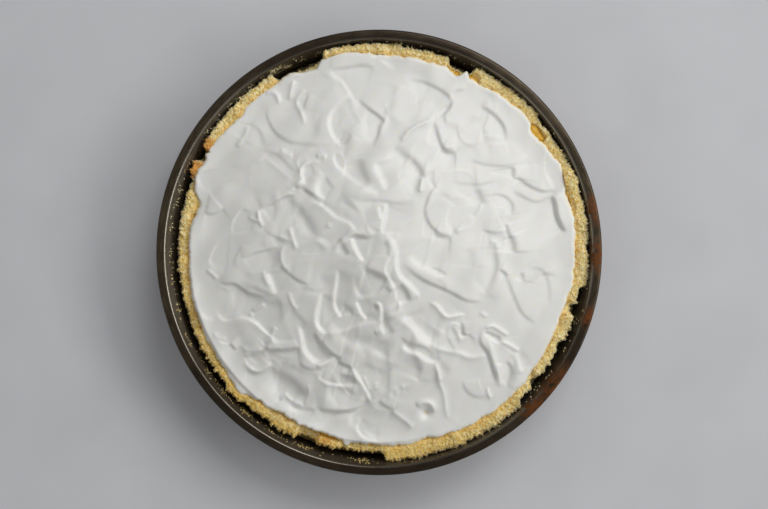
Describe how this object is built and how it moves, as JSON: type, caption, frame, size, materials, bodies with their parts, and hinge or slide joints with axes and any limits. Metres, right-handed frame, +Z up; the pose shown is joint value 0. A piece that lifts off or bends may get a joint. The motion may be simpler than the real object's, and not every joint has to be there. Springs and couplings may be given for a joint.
{
  "type": "lemon meringue pie",
  "caption": "Whole round lemon meringue pie in its dark steel tin: crumbly pastry case, set lemon filling and a heaped, spoon-marked white meringue top.",
  "frame": {"origin": "middle of the tin's flat underside, on the surface it stands on", "axes": "+Z up out of the tin; +X to the right and +Y to the back of the pie as it is seen from above"},
  "size_m": [0.26, 0.26, 0.0594],
  "materials": {
    "tin_steel": "dark, seasoned baking steel, semi-gloss, with faint brown stains",
    "pastry": "dry, crumbly, pale golden baked pastry",
    "lemon_curd": "smooth, moist, golden yellow",
    "meringue_foam": "glossy white unbaked foam with a soft sheen"
  },
  "bodies": {
    "root": {"tin": "tin_steel", "crust": "pastry", "lemon_filling": "lemon_curd", "meringue": "meringue_foam"}
  },
  "joints": []
}
